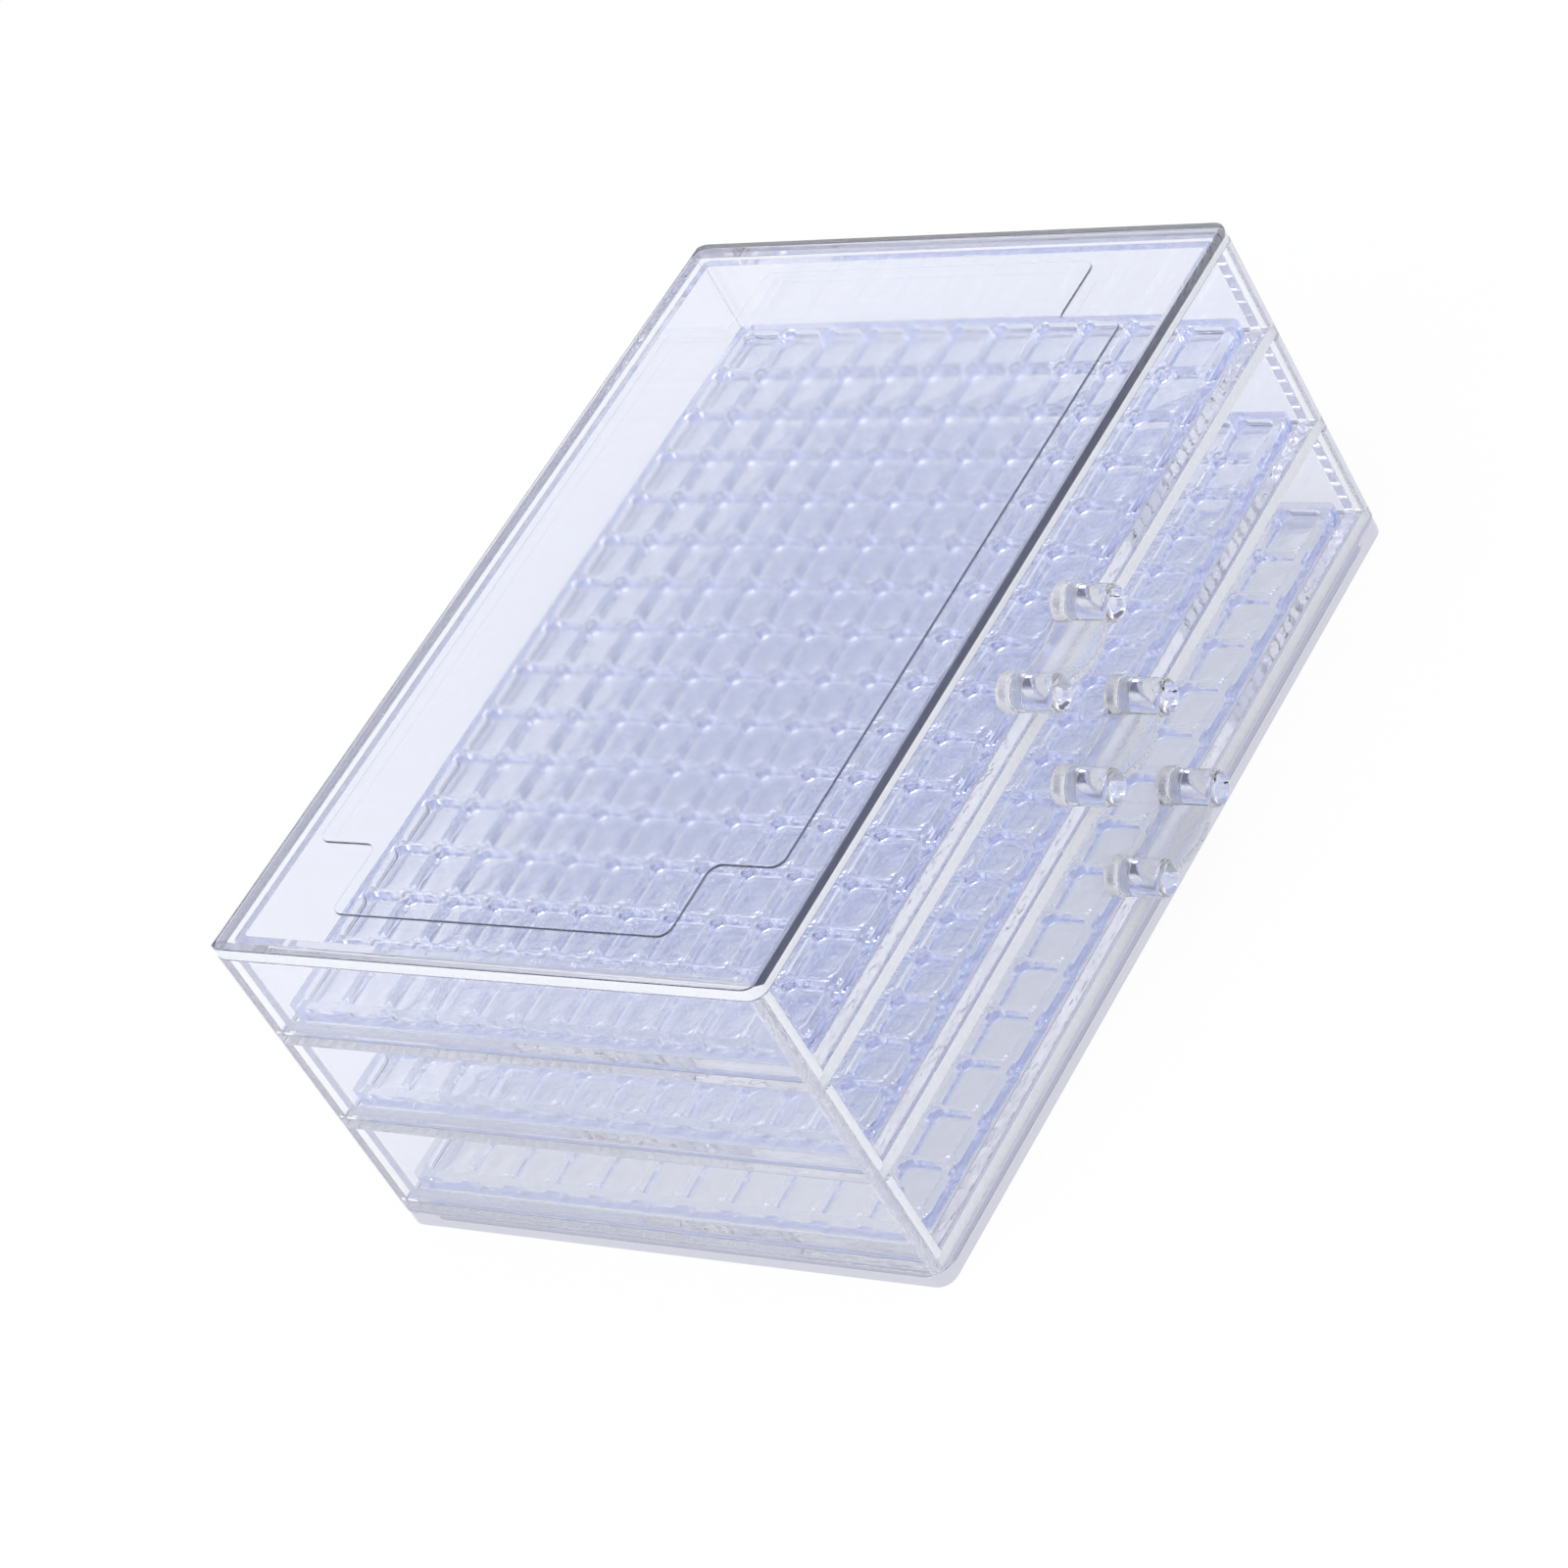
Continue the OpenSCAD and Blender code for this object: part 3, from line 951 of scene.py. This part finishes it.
def collar_part(root_y, z):
    """Tells the collars from the clear shafts."""

    def wanted(m, n):
        off_axis = math.hypot(abs(m.x) - POST_SPAN / 2, m.z - z)
        near_root = root_y - COLLAR_T - NEAR < m.y < root_y + NEAR
        return near_root and COLLAR_BAND[0] < off_axis < COLLAR_BAND[1]

    return wanted


def tongue_part(m, n):
    return abs(m.x) < HAZY_HALF


# The tongue's lip faces, which get a painted highlight.
def painted_lip_highlight(m, n):
    return tongue_part(m, n) and abs(n.y) > LIP_COSINE


for bay in BAYS:
    root_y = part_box(bay + "_handle")[0].y + max(POST_OUT, TONGUE_MID_OUT)
    axis_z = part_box(bay + "_drawer")[0].z + HANDLE_UP
    handle = tongue(root_y, axis_z)
    handle.name = bay + "_handle_piece"
    soften(handle, TONGUE_EDGE_R, TONGUE_EDGE_STEPS)
    for side in (-1, 1):
        combine(handle, post(side * POST_SPAN / 2, root_y, axis_z), "UNION")
    stand_for(handle, bay + "_handle", bay + "_drawer", "clear_handle", clear_pull)
    paint(handle, hazy_tongue, tongue_part)
    paint(handle, collar_haze_and_lip_highlight, collar_part(root_y, axis_z))
    # Painted highlight: the lip gets the roots' paler finish where the rounded edge catches the
    # light.
    paint(handle, collar_haze_and_lip_highlight, painted_lip_highlight)

# %% [markdown]
# A bead tray is a shallow moulding with a grid of pockets. Each pocket has round corners and a
# slightly dished floor, so that beads gather in its middle and a lamp shows as a small bright
# patch. One pocket is modelled from a plane, and two Array modifiers repeat it. The rim is then
# drawn outwards and down from the grid's open edge, and the underside is closed with one face.

# %% Bead trays
TRAY_FLOOR_T = 1 * MM
TRAY_RIM = 2.2 * MM
TRAY_R = 1.5 * MM
TRAY_STEPS = 3
RIB_T = 1 * MM
POCKET_R = 2.6 * MM
POCKET_STEPS = 3
CREST_DROP = 0.25 * MM
WALL_DRAFT = 0.25 * MM
FOOT_R = 0.8 * MM
DISH_DEEP = 0.35 * MM
GRIDS = {"upper": (15, 11), "middle": (18, 12), "lower": (15, 11)}


def sink(inset, drop):
    """Insets the selected face and lowers it."""
    bpy.ops.mesh.inset(thickness=inset)
    bpy.ops.transform.translate(value=(0, 0, -drop))


def pocket(width, depth, corner, top_z, floor_z):
    """One pocket with half of the ribs round it; its low corner lies at the given place."""
    middle = (corner.x + width / 2, corner.y + depth / 2, top_z)
    cell = primitive(
        bpy.ops.mesh.primitive_plane_add, (width, depth, 1), size=1, location=middle
    )

    def in_middle(m, n):
        return abs(m.x - middle[0]) < EDGE_R and abs(m.y - middle[1]) < EDGE_R

    edit(cell)
    bpy.ops.mesh.select_all(action="SELECT")
    sink(RIB_T / 2, CREST_DROP)
    bpy.ops.mesh.bevel(offset=POCKET_R, segments=POCKET_STEPS, affect="VERTICES")
    pick_faces(in_middle)
    sink(WALL_DRAFT, top_z - CREST_DROP - floor_z - FOOT_R)
    sink(FOOT_R, FOOT_R - DISH_DEEP)
    bpy.ops.mesh.poke(offset=-DISH_DEEP)
    done()
    return cell


for bay in BAYS:
    columns, rows = GRIDS[bay]
    low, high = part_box(bay + "_bead_tray")
    border = Vector((1, 1, 0)) * (TRAY_RIM - RIB_T / 2)
    grid_low, grid_high = low + border, high - border
    pitch_x = (grid_high.x - grid_low.x) / columns
    pitch_y = (grid_high.y - grid_low.y) / rows
    tray = pocket(pitch_x, pitch_y, grid_low, high.z, low.z + TRAY_FLOOR_T)
    tray.name = bay + "_bead_tray_piece"
    for count, pitch in ((columns, (pitch_x, 0, 0)), (rows, (0, pitch_y, 0))):
        apply_modifier(
            tray, "ARRAY", count=count, use_relative_offset=False, use_constant_offset=True,
            constant_offset_displace=pitch, use_merge_vertices=True, merge_threshold=MERGE_GAP,
        )
    edit(tray)
    bpy.ops.mesh.select_all(action="DESELECT")
    bpy.ops.mesh.select_mode(type="EDGE")
    bpy.ops.mesh.select_non_manifold()
    bpy.ops.mesh.extrude_edges_move()
    factor_x = (high.x - low.x) / (grid_high.x - grid_low.x)
    factor_y = (high.y - low.y) / (grid_high.y - grid_low.y)
    tray_middle = (low + high) / 2
    bpy.ops.transform.resize(value=(factor_x, factor_y, 1), center_override=tray_middle)
    bpy.ops.mesh.extrude_edges_move(TRANSFORM_OT_translate={"value": (0, 0, low.z - high.z)})
    bpy.ops.mesh.edge_face_add()
    face_outwards()

    def tray_corner(m, d):
        at_side = m.x**2 > (high.x - EDGE_R) ** 2
        at_end = m.y < low.y + EDGE_R or m.y > high.y - EDGE_R
        return upright(m, d) and at_side and at_end

    pick_edges(tray_corner)
    bpy.ops.mesh.bevel(offset=TRAY_R, segments=TRAY_STEPS, affect="EDGES")
    done()
    stand_for(tray, bay + "_bead_tray", bay + "_tray", "clear_tray", clear_grid)
